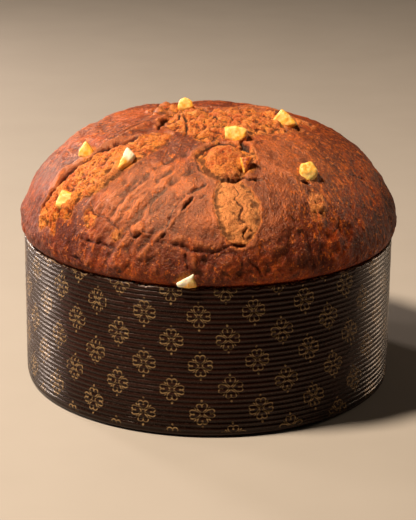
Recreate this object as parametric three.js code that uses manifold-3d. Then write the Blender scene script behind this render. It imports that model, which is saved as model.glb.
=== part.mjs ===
// A panettone with candied peel in its fluted paper baking case.
// Millimetres, +Z up, origin at the middle of the case's underside, -Y is the front.

import * as THREE from 'three';
import { ConvexGeometry } from 'three/addons/geometries/ConvexGeometry.js';
import { SimplexNoise } from 'three/addons/math/SimplexNoise.js';
import { mergeVertices } from 'three/addons/utils/BufferGeometryUtils.js';
import Module from 'manifold-3d';

const wasm = await Module();
wasm.setup();

// Driving dimensions
const CASE_DIAMETER = 187;
const CASE_HEIGHT = 75;
const CAKE_HEIGHT = 134.5;
const OVERHANG = 1.3;
const BELLY_LIFT = 7.4;
const FLUTES = 30;
const FLUTE_DEPTH = 0.8;
const WALL = 0.9;
const FLOOR = 1.2;
const FOOT_RADIUS = 2;
const CLEARANCE = 0.3;
const PEEL_BEVEL = 1;

// How finely the round shapes are divided
const CASE_SEGMENTS = 44;
const CRUST_RINGS = 28;
const CRACK_STEP = 8;

// Sizes that follow from the driving ones
const CASE_RADIUS = CASE_DIAMETER / 2;
const BELLY_RADIUS = CASE_RADIUS + OVERHANG;
const BELLY_HEIGHT = CASE_HEIGHT + BELLY_LIFT;
const DOME_RISE = CAKE_HEIGHT - BELLY_HEIGHT;
const INNER_RADIUS = CASE_RADIUS - FLUTE_DEPTH - WALL;
const CAKE_RADIUS = INNER_RADIUS * Math.cos(Math.PI / CASE_SEGMENTS) - CLEARANCE;
const CAKE_FLOOR = FLOOR + CLEARANCE;
const RIM_GAP = CLEARANCE + 0.2;

const crust = new THREE.MeshStandardMaterial({ color: 0x6b3216, roughness: 0.55, metalness: 0 });
const paper = new THREE.MeshStandardMaterial({ color: 0x241712, roughness: 0.5, metalness: 0 });
const candied = new THREE.MeshStandardMaterial({ color: 0xe8b650, roughness: 0.35, metalness: 0 });

// A repeatable random source for the crust's unevenness
function seeded(seed) {
  let state = seed;
  return () => {
    state = (state * 1664525 + 1013904223) % 4294967296;
    return state / 4294967296;
  };
}

// The dome's half section: a superellipse from the top to the belly, then a short undercut to the rim
class DomeProfile extends THREE.Curve {
  constructor() {
    super();
    this.flatness = 2.8;
    this.roundness = 1.6;
    this.undercutShare = 0.12;
    this.arcLengthDivisions = 800;
  }

  getPoint(t, target = new THREE.Vector2()) {
    const split = 1 - this.undercutShare;
    if (t <= split) {
      const angle = (t / split) * Math.PI / 2;
      const radius = BELLY_RADIUS * Math.sin(angle) ** (2 / this.flatness);
      const height = BELLY_HEIGHT + DOME_RISE * Math.abs(Math.cos(angle)) ** (2 / this.roundness);
      return target.set(radius, height);
    }
    const angle = ((t - split) / this.undercutShare) * Math.PI / 2;
    const radius = CAKE_RADIUS + (BELLY_RADIUS - CAKE_RADIUS) * Math.cos(angle);
    const height = BELLY_HEIGHT - (BELLY_LIFT - RIM_GAP) * Math.sin(angle);
    return target.set(radius, height);
  }
}

const profile = new DomeProfile();
const CRUST_LENGTH = profile.getLength();

// Places on the crust are given in millimetres along it from the top, x to the right and y to the back
function crustFrame(x, y) {
  const length = Math.hypot(x, y);
  const along = Math.min(length / CRUST_LENGTH, 1);
  const point = profile.getPointAt(along);
  const slope = profile.getTangentAt(Math.max(along, 0.01));
  const direction = length > 0 ? new THREE.Vector2(x / length, y / length) : new THREE.Vector2(1, 0);
  const out = new THREE.Vector3(-slope.y * direction.x, -slope.y * direction.y, slope.x);
  const place = new THREE.Vector3(point.x * direction.x, point.x * direction.y, point.y);
  return { place, out: length > 0 ? out.normalize() : new THREE.Vector3(0, 0, 1) };
}

// Torn openings where the crumb shows, as outlines on the crust with the step down at their edge and the
// rise of the crumb inside them
const TEARS = [
  {
    step: 2.6,
    rise: 1.2,
    outline: [[-96, -52], [-80, -41], [-54, -35], [-38, -33], [-25, -28], [-18, -33], [-31, -51], [-48, -61], [-70, -67], [-86, -68]],
  },
  {
    step: 2.4,
    rise: 0.8,
    outline: [[-22, -8], [-21, -22], [-12, -33], [-4, -42], [9, -43], [20, -32], [36, -22], [53, 3], [38, 9], [4, 7], [-8, 14], [-19, 8]],
  },
  {
    step: 2.6,
    rise: 0.4,
    outline: [[-7, -57], [-4, -49], [4, -43], [14, -43], [23, -50], [19, -62], [16, -70], [8, -73], [-1, -68]],
  },
  {
    step: 2.4,
    rise: 1.3,
    outline: [[6, -71], [3, -81], [4, -92], [9, -101], [17, -105], [24, -98], [26, -88], [22, -77], [15, -70]],
  },
  {
    step: 2.6,
    rise: 1,
    outline: [[10, 68], [26, 56], [46, 50], [66, 50], [84, 60], [72, 66], [52, 67], [30, 74]],
  },
  {
    step: 2.4,
    rise: 0.8,
    outline: [[-74, 26], [-62, 34], [-48, 48], [-40, 66], [-38, 86], [-48, 72], [-60, 52], [-72, 38]],
  },
];

// Cracks in the crust, as lines with the width and depth of the split
const CRACKS = [
  { width: 2.6, depth: 3, line: [[-95, -46], [-80, -42], [-61, -36]] },
  { width: 3, depth: 5.5, line: [[-59, -36], [-47, -36], [-38, -32], [-20, -31]] },
  { width: 3.2, depth: 5.5, line: [[-25, -25], [-23, -12], [-20, 4]] },
  { width: 2.8, depth: 4.5, line: [[-14, 9], [3, 7], [20, 8], [38, 9], [53, 5]] },
  { width: 2.2, depth: 3.5, line: [[-6, -57], [-3, -50], [5, -43], [17, -43]] },
  { width: 2, depth: 3, line: [[13, -71], [15, -84], [19, -92], [19, -103]] },
  { width: 2, depth: 3, line: [[9, -71], [17, -68], [28, -66]] },
  { width: 2, depth: 2.6, line: [[-1, -73], [-10, -80], [-20, -90], [-27, -101]] },
  { width: 2.6, depth: 4.5, line: [[10, 68], [26, 56], [46, 50], [66, 50], [86, 60]] },
  { width: 2.2, depth: 3.5, line: [[-76, 24], [-56, 40], [-42, 62], [-36, 92]] },
];

// Rounded knobs of crumb: one that pushes up between the front plates of crust, and one at the top's left edge
const KNOBS = [
  { x: 7.5, y: -58, radius: 12, height: 3.6 },
  { x: -21, y: 10, radius: 8, height: 3.6 },
];

// Signed distance from a place to an outline, positive inside it
function insideBy(outline, x, y) {
  let nearest = Infinity;
  let inside = false;
  for (let i = 0, j = outline.length - 1; i < outline.length; j = i, i += 1) {
    const [ax, ay] = outline[j];
    const [bx, by] = outline[i];
    const share = ((x - ax) * (bx - ax) + (y - ay) * (by - ay)) / ((bx - ax) ** 2 + (by - ay) ** 2);
    const t = THREE.MathUtils.clamp(share, 0, 1);
    nearest = Math.min(nearest, Math.hypot(x - ax - t * (bx - ax), y - ay - t * (by - ay)));
    if ((ay > y) !== (by > y) && x < ax + ((y - ay) * (bx - ax)) / (by - ay)) {
      inside = !inside;
    }
  }
  return inside ? nearest : -nearest;
}

const noise = new SimplexNoise({ random: seeded(11) });

// Height of the crust above its smooth form: broad swells, torn openings with lumpy crumb, and the knobs
function relief(x, y) {
  const swell = 0.9 * noise.noise(x / 38, y / 38) + 0.4 * noise.noise(x / 15, y / 15);
  let height = swell;
  for (const tear of TEARS) {
    const inside = insideBy(tear.outline, x, y);
    const opened = THREE.MathUtils.smoothstep(inside, -1, 2);
    const lump = 0.7 * noise.noise(x / 5, y / 5);
    const risen = tear.rise * THREE.MathUtils.smoothstep(inside, 2, 8);
    height += opened * (lump + risen - tear.step);
  }
  for (const knob of KNOBS) {
    const away = Math.hypot(x - knob.x, y - knob.y) / knob.radius;
    height += knob.height * Math.max(0, 1 - away ** 2);
  }
  const toRim = CRUST_LENGTH - Math.hypot(x, y);
  return height * THREE.MathUtils.smoothstep(toRim, 2, 16);
}

// A solid for boolean work, from a closed geometry
function toSolid(geometry) {
  const bare = geometry.clone();
  bare.deleteAttribute('normal');
  bare.deleteAttribute('uv');
  const merged = mergeVertices(bare, 1e-4);
  const vertProperties = new Float32Array(merged.attributes.position.array);
  const triVerts = new Uint32Array(merged.index.array);
  return new wasm.Manifold(new wasm.Mesh({ numProp: 3, vertProperties, triVerts }));
}

function toGeometry(solid) {
  const mesh = solid.getMesh();
  const geometry = new THREE.BufferGeometry();
  geometry.setAttribute('position', new THREE.BufferAttribute(mesh.vertProperties, 3));
  geometry.setIndex(new THREE.BufferAttribute(mesh.triVerts, 1));
  geometry.computeVertexNormals();
  return geometry;
}

// The cake with its domed top as rings of six, twelve, eighteen and more points, down into the case
function cakeGeometry() {
  const points = [];
  const faces = [];
  const ringStart = (ring) => (ring === 0 ? 0 : 1 + 3 * ring * (ring - 1));
  const onRing = (ring, step) => ringStart(ring) + (ring === 0 ? 0 : step % (6 * ring));
  for (let ring = 0; ring <= CRUST_RINGS; ring += 1) {
    const length = (CRUST_LENGTH * ring) / CRUST_RINGS;
    for (let step = 0; step < Math.max(1, 6 * ring); step += 1) {
      const angle = ring === 0 ? 0 : (2 * Math.PI * step) / (6 * ring);
      const x = length * Math.cos(angle);
      const y = length * Math.sin(angle);
      const { place, out } = crustFrame(x, y);
      place.addScaledVector(out, relief(x, y));
      points.push(place.x, place.y, place.z);
    }
  }
  for (let ring = 0; ring < CRUST_RINGS; ring += 1) {
    for (let sector = 0; sector < 6; sector += 1) {
      for (let step = 0; step <= ring; step += 1) {
        const inner = onRing(ring, sector * ring + step);
        const outer = onRing(ring + 1, sector * (ring + 1) + step);
        const next = onRing(ring + 1, sector * (ring + 1) + step + 1);
        faces.push(inner, outer, next);
        if (step < ring) {
          faces.push(inner, next, onRing(ring, sector * ring + step + 1));
        }
      }
    }
  }
  const rim = 6 * CRUST_RINGS;
  const foot = points.length / 3;
  for (let step = 0; step < rim; step += 1) {
    const angle = (2 * Math.PI * step) / rim;
    points.push(CAKE_RADIUS * Math.cos(angle), CAKE_RADIUS * Math.sin(angle), CAKE_FLOOR);
  }
  const middle = foot + rim;
  points.push(0, 0, CAKE_FLOOR);
  for (let step = 0; step < rim; step += 1) {
    const next = (step + 1) % rim;
    const top = onRing(CRUST_RINGS, step);
    const topNext = onRing(CRUST_RINGS, next);
    faces.push(top, foot + step, foot + next);
    faces.push(top, foot + next, topNext);
    faces.push(foot + step, middle, foot + next);
  }
  const geometry = new THREE.BufferGeometry();
  geometry.setAttribute('position', new THREE.Float32BufferAttribute(points, 3));
  geometry.setIndex(faces);
  return geometry;
}

// A wedge along a crack, open at the crust's surface and pointed below it, narrower toward its ends
function crackSolid({ width, depth, line }) {
  const course = new THREE.CatmullRomCurve3(line.map(([x, y]) => new THREE.Vector3(x, y, 0)));
  const steps = Math.max(3, Math.round(course.getLength() / CRACK_STEP));
  const above = 4;
  const points = [];
  const faces = [];
  for (let step = 0; step <= steps; step += 1) {
    const share = step / steps;
    const open = 0.25 + 0.75 * Math.sin(Math.PI * share) ** 0.5;
    const at = course.getPointAt(share);
    const ahead = course.getTangentAt(share);
    const half = (width / 2) * open * (1 + above / depth);
    const { place, out } = crustFrame(at.x, at.y);
    const left = crustFrame(at.x - ahead.y * half, at.y + ahead.x * half).place;
    const right = crustFrame(at.x + ahead.y * half, at.y - ahead.x * half).place;
    left.addScaledVector(out, above);
    right.addScaledVector(out, above);
    place.addScaledVector(out, -depth * open);
    for (const corner of [left, right, place]) {
      points.push(corner.x, corner.y, corner.z);
    }
  }
  for (let step = 0; step < steps; step += 1) {
    for (let side = 0; side < 3; side += 1) {
      const a = 3 * step + side;
      const b = 3 * step + ((side + 1) % 3);
      faces.push(a, b, b + 3, a, b + 3, a + 3);
    }
  }
  const last = 3 * steps;
  faces.push(0, 2, 1, last, last + 1, last + 2);
  const geometry = new THREE.BufferGeometry();
  geometry.setAttribute('position', new THREE.Float32BufferAttribute(points, 3));
  geometry.setIndex(faces);
  return toSolid(geometry);
}

const onCrust = (x, y) => crustFrame(x, y).place;

// A place just above the case's rim, at an angle in degrees from the front, positive to the right
function onRim(degrees, radius) {
  const angle = THREE.MathUtils.degToRad(degrees);
  const height = CASE_HEIGHT + RIM_GAP;
  return new THREE.Vector3(radius * Math.sin(angle), -radius * Math.cos(angle), height);
}

// The cut faces of the peel as seen from outside, each from its foot in the crust, x to the right and y up
const FACES = {
  chunk: [[-4, 0.5], [-4, 3.5], [-2.8, 6], [-0.2, 7.2], [3.3, 5], [4.1, 2], [0, -0.5]],
  slab: [[-5, 2], [-5.5, 7.5], [-1, 8], [5.5, 6.7], [5.5, 2], [2, -0.5]],
  wedge: [[-6.3, 2], [-2.1, 8.8], [2.5, 5.2], [6.3, 1.4], [2.5, -0.5]],
  corner: [[-4, 0.5], [-4, 3.2], [-1, 8.3], [3.2, 3.5], [4.1, 1.3], [2.3, -0.5]],
  kite: [[-4, 0], [-0.2, 10.5], [4.1, 6.5], [2.2, 3.5], [-3, -0.5]],
  block: [[-5.5, 1.5], [-3, 9.4], [1.8, 8.5], [5.2, 7.5], [5.5, 4], [3, 0.5], [-0.6, -0.5]],
  round: [[-4.5, 3], [-3.5, 9], [1.6, 10.3], [4.5, 6.3], [4.2, 3.5], [-1, -0.5], [-3.8, 0]],
  flake: [[-3.4, 7.5], [3.4, 7.2], [-1.9, -0.5]],
  sail: [[-4.8, 1.8], [3.4, 6.9], [4.8, 0], [-4.4, 0]],
};

// Pieces of peel: face, foot, the way it faces in degrees from the front, how far it leans back,
// its thickness behind the face, and how deep its root goes below the foot
const PEEL = [
  { face: 'chunk', foot: onCrust(-12, 7), facing: 0, lean: 18, depth: 8, root: 2.5 },
  { face: 'slab', foot: onCrust(12.5, -41), facing: -6, lean: 24, depth: 8.5, root: 2.5 },
  { face: 'wedge', foot: onCrust(37, -12), facing: -12, lean: 18, depth: 9, root: 2.5 },
  { face: 'corner', foot: onCrust(-62, -34), facing: -10, lean: 18, depth: 8, root: 2.5 },
  { face: 'kite', foot: onCrust(-41, -56), facing: -8, lean: 22, depth: 8, root: 2.5 },
  { face: 'block', foot: onCrust(-77, -62), facing: -14, lean: 24, depth: 9, root: 2.5 },
  { face: 'round', foot: onCrust(50, -60), facing: 6, lean: 24, depth: 9, root: 2.5 },
  { face: 'flake', foot: onCrust(19, -64), facing: 10, lean: 30, depth: 4, root: 1.5 },
  { face: 'sail', foot: onRim(-6, 95.2), facing: -4, lean: 0, depth: 7, root: 0 },
  { face: 'slab', foot: onCrust(-48, 58), facing: -140, lean: 30, depth: 8, root: 2.5 },
  { face: 'round', foot: onCrust(6, 78), facing: 170, lean: 34, depth: 8, root: 2.5 },
  { face: 'corner', foot: onCrust(70, 60), facing: 130, lean: 30, depth: 8, root: 2.5 },
  { face: 'kite', foot: onCrust(-92, 26), facing: -105, lean: 40, depth: 8, root: 2.5 },
];

// A piece of peel behind its face, bevelled at the front, a little smaller at the back, with a root below
function peelGeometry({ face, depth, root }, grow) {
  const outline = FACES[face].map(([x, y]) => new THREE.Vector2(x, y));
  const middle = outline.reduce((sum, point) => sum.add(point), new THREE.Vector2()).divideScalar(outline.length);
  const layers = [
    { inset: PEEL_BEVEL - grow, z: grow },
    { inset: -grow, z: -PEEL_BEVEL },
    { inset: PEEL_BEVEL - grow, z: -depth - grow },
  ];
  const points = [];
  for (const { inset, z } of layers) {
    for (const point of outline) {
      const arm = point.clone().sub(middle);
      arm.setLength(arm.length() - inset).add(middle);
      points.push(new THREE.Vector3(arm.x, arm.y, z));
    }
  }
  points.push(new THREE.Vector3(middle.x, -root - grow, -depth / 2));
  return mergeVertices(new ConvexGeometry(points).deleteAttribute('normal'), 1e-4);
}

// Puts a piece with its foot in place, its face turned and leaning
function settle(object, { foot, facing, lean }) {
  const radians = THREE.MathUtils.degToRad;
  object.position.copy(foot);
  object.rotation.set(radians(90 - lean), 0, radians(facing), 'ZYX');
}

function peelPieces() {
  return PEEL.map((piece, index) => {
    const mesh = new THREE.Mesh(peelGeometry(piece, 0), candied.clone());
    mesh.name = `peel_${String(index + 1).padStart(2, '0')}`;
    settle(mesh, piece);
    return mesh;
  });
}

// The hollow that a piece of peel sits in, a clearance larger than it all round
function peelHollow(piece) {
  const holder = new THREE.Object3D();
  settle(holder, piece);
  holder.updateMatrix();
  return toSolid(peelGeometry(piece, CLEARANCE).applyMatrix4(holder.matrix));
}

function cake() {
  let solid = toSolid(cakeGeometry());
  for (const crack of CRACKS) {
    solid = solid.subtract(crackSolid(crack));
  }
  for (const piece of PEEL) {
    solid = solid.subtract(peelHollow(piece));
  }
  const mesh = new THREE.Mesh(toGeometry(solid), crust);
  mesh.name = 'panettone';
  return mesh;
}

// The case's half section: flat underside, rounded foot, horizontal flutes up the outside, smooth lining
function caseProfile() {
  const pitch = CASE_HEIGHT / FLUTES;
  const outline = [new THREE.Vector2(0, 0)];
  for (let step = 0; step < 3; step += 1) {
    const angle = (step / 2) * (Math.PI / 2);
    const radius = CASE_RADIUS - FOOT_RADIUS * (1 - Math.sin(angle));
    outline.push(new THREE.Vector2(radius, FOOT_RADIUS * (1 - Math.cos(angle))));
  }
  for (let flute = 1; flute < FLUTES; flute += 1) {
    outline.push(new THREE.Vector2(CASE_RADIUS - FLUTE_DEPTH, flute * pitch));
    outline.push(new THREE.Vector2(CASE_RADIUS, (flute + 0.5) * pitch));
  }
  outline.push(new THREE.Vector2(CASE_RADIUS - FLUTE_DEPTH, CASE_HEIGHT));
  outline.push(new THREE.Vector2(INNER_RADIUS, CASE_HEIGHT));
  outline.push(new THREE.Vector2(INNER_RADIUS, FLOOR));
  outline.push(new THREE.Vector2(0, FLOOR));
  return outline;
}

function paperCase() {
  const geometry = new THREE.LatheGeometry(caseProfile(), CASE_SEGMENTS);
  geometry.rotateX(Math.PI / 2);
  const mesh = new THREE.Mesh(geometry, paper);
  mesh.name = 'paper_case';
  return mesh;
}

const panettone = new THREE.Group();
panettone.add(paperCase(), cake(), ...peelPieces());

export default panettone;
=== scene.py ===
# The looks of a panettone in its fluted paper case: torn crust, crumb, candied peel and printed paper.
import itertools
import math
from collections import namedtuple

import bmesh
import bpy
import numpy as np
from mathutils import Matrix, Vector


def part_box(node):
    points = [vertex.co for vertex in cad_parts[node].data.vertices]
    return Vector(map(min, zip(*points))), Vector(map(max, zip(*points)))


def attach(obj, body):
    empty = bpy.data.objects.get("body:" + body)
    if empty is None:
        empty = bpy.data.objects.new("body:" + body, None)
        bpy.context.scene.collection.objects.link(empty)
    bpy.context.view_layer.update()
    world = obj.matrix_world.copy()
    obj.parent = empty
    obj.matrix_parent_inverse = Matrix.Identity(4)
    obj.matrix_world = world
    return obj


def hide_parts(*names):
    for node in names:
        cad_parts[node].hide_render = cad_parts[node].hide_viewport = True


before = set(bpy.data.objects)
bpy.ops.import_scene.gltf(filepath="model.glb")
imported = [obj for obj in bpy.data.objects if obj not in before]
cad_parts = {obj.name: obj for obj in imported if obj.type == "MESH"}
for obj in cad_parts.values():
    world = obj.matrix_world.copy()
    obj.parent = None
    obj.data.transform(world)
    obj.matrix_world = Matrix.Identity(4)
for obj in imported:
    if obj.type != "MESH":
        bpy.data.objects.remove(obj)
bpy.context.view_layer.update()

# Lengths in this script are millimetres, and become metres where a mesh is made
MM = 0.001

# Sizes from the frame
_, case_high = (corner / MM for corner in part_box("paper_case"))
cake_low, _ = (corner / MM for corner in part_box("panettone"))
CASE_RADIUS = case_high.x
CASE_HEIGHT = case_high.z
CAKE_FLOOR = cake_low.z

# The cake's form: a dome that hangs over the case, flatness and roundness being the powers of its curve
CAKE_TOP = 134.5
OVERHANG = 1.3
BELLY_LIFT = 7.4
RIM_GAP = 0.5
WALL = 2.1
BELLY_RADIUS = CASE_RADIUS + OVERHANG
BELLY_HEIGHT = CASE_HEIGHT + BELLY_LIFT
CAKE_RADIUS = CASE_RADIUS - WALL
FLATNESS = 2.8
ROUNDNESS = 1.6
CRUST_RINGS = 176
HOLLOW_ROUNDS = 14

# The case's flutes and print
FLUTES = 30
PITCH = CASE_HEIGHT / FLUTES
FLUTE_DEPTH = 0.8
FLUTE_ROWS = 6
CASE_COLUMNS = 500
FOOT_RADIUS = 2.0
PAPER_WALL = 1.2
LINING = 0.9
RIM_BAND = 5.0
MOTIF_ACROSS = 13.43
MOTIF_UP = 24.0
MOTIF_SQUEEZE = 1.08
MOTIF_START = (-4.0, 60.4)
PRINT_RADIUS = 92.5

# The camera, solved from the case's ellipses: distance, degrees above the horizon, height that it looks at, degrees
# of roll, lens and sensor
CAMERA_DISTANCE = 925.0
CAMERA_ELEVATION = 18.45
CAMERA_AIM = 57.7
CAMERA_ROLL = 0.589
CAMERA_LENS = 124.7
CAMERA_SENSOR = 36.0

# Lights stand round the cake: degrees round from the front, degrees up, size in metres, watts and tint
LIGHT_AIM = (0, 0, 0.08)
LIGHT_DISTANCE = 1.1
LIGHTS = {
    "key": (294, 60, 0.2, 25, (1.0, 0.84, 0.66)),
    "rim": (225, 15, 0.2, 6, (1.0, 0.86, 0.76)),
    "side": (250, 6, 0.2, 5, (1.0, 0.86, 0.76)),
    "fill": (122, 8, 0.25, 2, (1.0, 0.76, 0.54)),
}
SKY_STRENGTH = 0.025
FLOOR_SIZE = 6.0
FLOOR_DROP = 0.0004


class Noise:
    """Repeatable smooth noise, about -1 to 1, at an array of points in millimetres."""

    def __init__(self, seed):
        random = np.random.default_rng(seed)
        self.order = np.concatenate([random.permutation(256)] * 2)
        slopes = random.normal(size=(256, 3))
        self.slopes = slopes / np.linalg.norm(slopes, axis=1, keepdims=True)
        self.shift = random.uniform(0, 200, 3)

    def at(self, points, size):
        place = points / size + self.shift
        cell = np.floor(place).astype(int)
        part = place - cell
        fade = part**3 * (part * (part * 6 - 15) + 10)
        cell &= 255
        total = np.zeros(len(points))
        for corner in itertools.product((0, 1), repeat=3):
            at = (cell + corner) & 255
            key = self.order[self.order[self.order[at[:, 0]] + at[:, 1]] + at[:, 2]]
            value = ((part - corner) * self.slopes[key]).sum(axis=1)
            total += value * np.where(corner, fade, 1 - fade).prod(axis=1)
        return 1.6 * total

    def layered(self, points, size, layers, keep=0.5):
        return sum(keep**i * self.at(points + 31.7 * i, size / 2**i) for i in range(layers))


def smoothstep(value, low, high):
    share = np.clip((value - low) / (high - low), 0, 1)
    return share * share * (3 - 2 * share)


def bell(distance, width):
    return np.exp(-((distance / width) ** 2))


def round_about(places, centre, width):
    """One at a centre, falling off smoothly round it."""
    return bell(np.hypot(*(places - centre).T), width)


# Places on the crust are millimetres along it from the top of the dome, x to the right and y to the back
def crust_profile():
    """Half section of the dome from its top to the rim: arc length, radius and height."""
    angle = np.linspace(0, math.pi / 2, 4000)
    radius = BELLY_RADIUS * np.sin(angle) ** (2 / FLATNESS)
    height = BELLY_HEIGHT + (CAKE_TOP - BELLY_HEIGHT) * np.cos(angle) ** (2 / ROUNDNESS)
    under = np.linspace(0, math.pi / 2, 400)[1:]
    radius = np.append(radius, CAKE_RADIUS + (BELLY_RADIUS - CAKE_RADIUS) * np.cos(under))
    height = np.append(height, BELLY_HEIGHT - (BELLY_LIFT - RIM_GAP) * np.sin(under))
    length = np.append(0, np.cumsum(np.hypot(np.diff(radius), np.diff(height))))
    return length, radius, height


PROFILE = crust_profile()
CRUST_LENGTH = PROFILE[0][-1]


def on_crust(places):
    """Points of the smooth dome and its outward directions, at an array of places."""
    length, radius, height = PROFILE
    reach = np.hypot(places[:, 0], places[:, 1])
    turn = places / np.maximum(reach, 1e-6)[:, None]
    r = np.interp(reach, length, radius)
    z = np.interp(reach, length, height)
    ahead, behind = np.minimum(reach + 0.4, CRUST_LENGTH), np.maximum(reach - 0.4, 0)
    rise = np.interp(ahead, length, height) - np.interp(behind, length, height)
    run = np.interp(ahead, length, radius) - np.interp(behind, length, radius)
    steep = np.hypot(rise, run)
    out = np.column_stack([turn * (-rise / steep)[:, None], run / steep])
    return np.column_stack([turn * r[:, None], z]), out


def smooth_line(points, closed=False, steps=6):
    """A Catmull-Rom line through given points."""
    points = np.array(points, float)
    if closed:
        padded = np.vstack([points[-1:], points, points[:2]])
    else:
        padded = np.vstack([2 * points[0] - points[1], points, 2 * points[-1] - points[-2]])
    line = []
    for a, b, c, d in zip(padded, padded[1:], padded[2:], padded[3:]):
        for t in np.arange(steps) / steps:
            bend, twist = 2 * a - 5 * b + 4 * c - d, 3 * (b - c) + d - a
            line.append(0.5 * (2 * b + (c - a) * t + bend * t**2 + twist * t**3))
    if not closed:
        line.append(points[-1])
    return np.array(line)


def distance_to(line, places):
    """Distance from each place to a line, and how far along it from 0 to 1 the nearest point is."""
    nearest = np.full(len(places), 1e9)
    along = np.zeros(len(places))
    lengths = np.append(0, np.cumsum(np.hypot(*np.diff(line, axis=0).T)))
    for a, b, start, end in zip(line, line[1:], lengths, lengths[1:]):
        t = np.clip(((places - a) @ (b - a)) / max((b - a) @ (b - a), 1e-9), 0, 1)
        away = np.hypot(*(places - a - t[:, None] * (b - a)).T)
        closer = away < nearest
        nearest[closer] = away[closer]
        along[closer] = ((start + t * (end - start)) / lengths[-1])[closer]
    return nearest, along


def inside_by(outline, places):
    """Signed distance from each place to a closed outline, positive inside it."""
    loop = np.vstack([outline, outline[:1]])
    away, _ = distance_to(loop, places)
    inside = np.zeros(len(places), bool)
    for (ax, ay), (bx, by) in zip(loop, loop[1:]):
        crosses = (ay > places[:, 1]) != (by > places[:, 1])
        if ay != by:
            at = ax + (places[:, 1] - ay) * (bx - ax) / (by - ay)
            inside ^= crosses & (places[:, 0] < at)
    return np.where(inside, away, -away)


# Torn openings that show the crumb: step down from the crust's edge, bulge of the crumb, how ragged the edge is, height
# of its lip, how far its colours fray, height of the crags in the crumb, how far islands of crust reach into it, width
# and depth of the groove along its deepest line, outline and that line
Tear = namedtuple("Tear", "step bulge ragged lip fray crag islands groove outline deep")
TEARS = {
    "left": Tear(0.4, 1.4, 2.6, 0.08, 2.6, 0.7, 0, (1.5, 1.6),
        [(-95, -46), (-80, -42), (-65, -36.5), (-55, -36), (-42, -33), (-25, -28.5), (-18, -32), (-22, -42),
         (-36, -53.5), (-55, -63.5), (-69, -64), (-76, -69), (-82, -63), (-88, -69), (-91, -61), (-98, -56)],
        [(-95, -46), (-80, -42), (-61, -36), (-42, -33), (-20, -31)]),
    "top": Tear(0.6, 0.9, 4.0, 0.24, 5.0, 1.7, 5.0, (2.2, 2.0),
        [(-22, -8), (-21, -22), (-12, -33), (-3.5, -42), (9, -43), (20, -32), (36, -22), (46, -13),
         (53, 3), (38, 9), (20, 8), (4, 7), (-8, 14), (-19, 8)],
        [(-24, -24), (-22, -9), (-17, 6), (-8, 13), (4, 7), (20, 8), (38, 9), (53, 4)]),
    "knob": Tear(0.8, 0.7, 1.4, 0.32, 2.5, 0.4, 0, (1.6, 0.6),
        [(-6.5, -56), (-4.5, -49), (2, -44), (13, -43), (22.5, -49.5), (19, -62), (16, -70), (8, -72.5),
         (-1, -68)],
        [(-6, -57), (-2, -48), (6, -43), (16, -44)]),
    "lens": Tear(0.55, 1.5, 0.9, 0.2, 1.0, 0.15, 0, (1.3, 0.3),
        [(6, -71), (3.2, -80), (4, -92), (9, -101), (17, -105), (24, -98), (26, -88), (22, -77), (15, -70.5)],
        [(4, -92), (9, -101), (17, -105), (24, -98)]),
    "left patch": Tear(0.2, 0.4, 1.6, 0.0, 3.0, 0.3, 0, (1.0, 0.3),
        [(-66, -74), (-61, -72), (-59, -77), (-61, -82), (-65, -80)],
        [(-66, -74), (-61, -72), (-59, -77)]),
    "low patch": Tear(0.2, 0.3, 1.6, 0.0, 3.0, 0.3, 0, (0.8, 0.2),
        [(-51, -90), (-47, -89), (-47, -94), (-51, -94)],
        [(-51, -90), (-47, -89)]),
    "right patch": Tear(0.1, 0.2, 2.6, 0.0, 7.0, 0.3, 0, (0.8, 0.2),
        [(51, -68), (57, -66), (61, -74), (56, -79), (52, -75)],
        [(51, -68), (57, -66)]),
    "back": Tear(0.9, 1.3, 1.4, 0.3, 3.0, 1.2, 1.5, (2.2, 1.9),
        [(10, 68), (26, 56), (46, 50), (66, 50), (84, 60), (72, 66), (52, 66), (30, 74)],
        [(10, 68), (26, 56), (46, 50), (66, 50), (84, 60)]),
    "back left": Tear(0.8, 1.1, 1.2, 0.3, 2.0, 1.0, 1.0, (1.8, 1.5),
        [(-74, 26), (-62, 34), (-48, 48), (-40, 66), (-38, 86), (-48, 72), (-60, 52), (-72, 38)],
        [(-74, 26), (-62, 34), (-48, 48), (-40, 66), (-38, 86)]),
}

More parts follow.
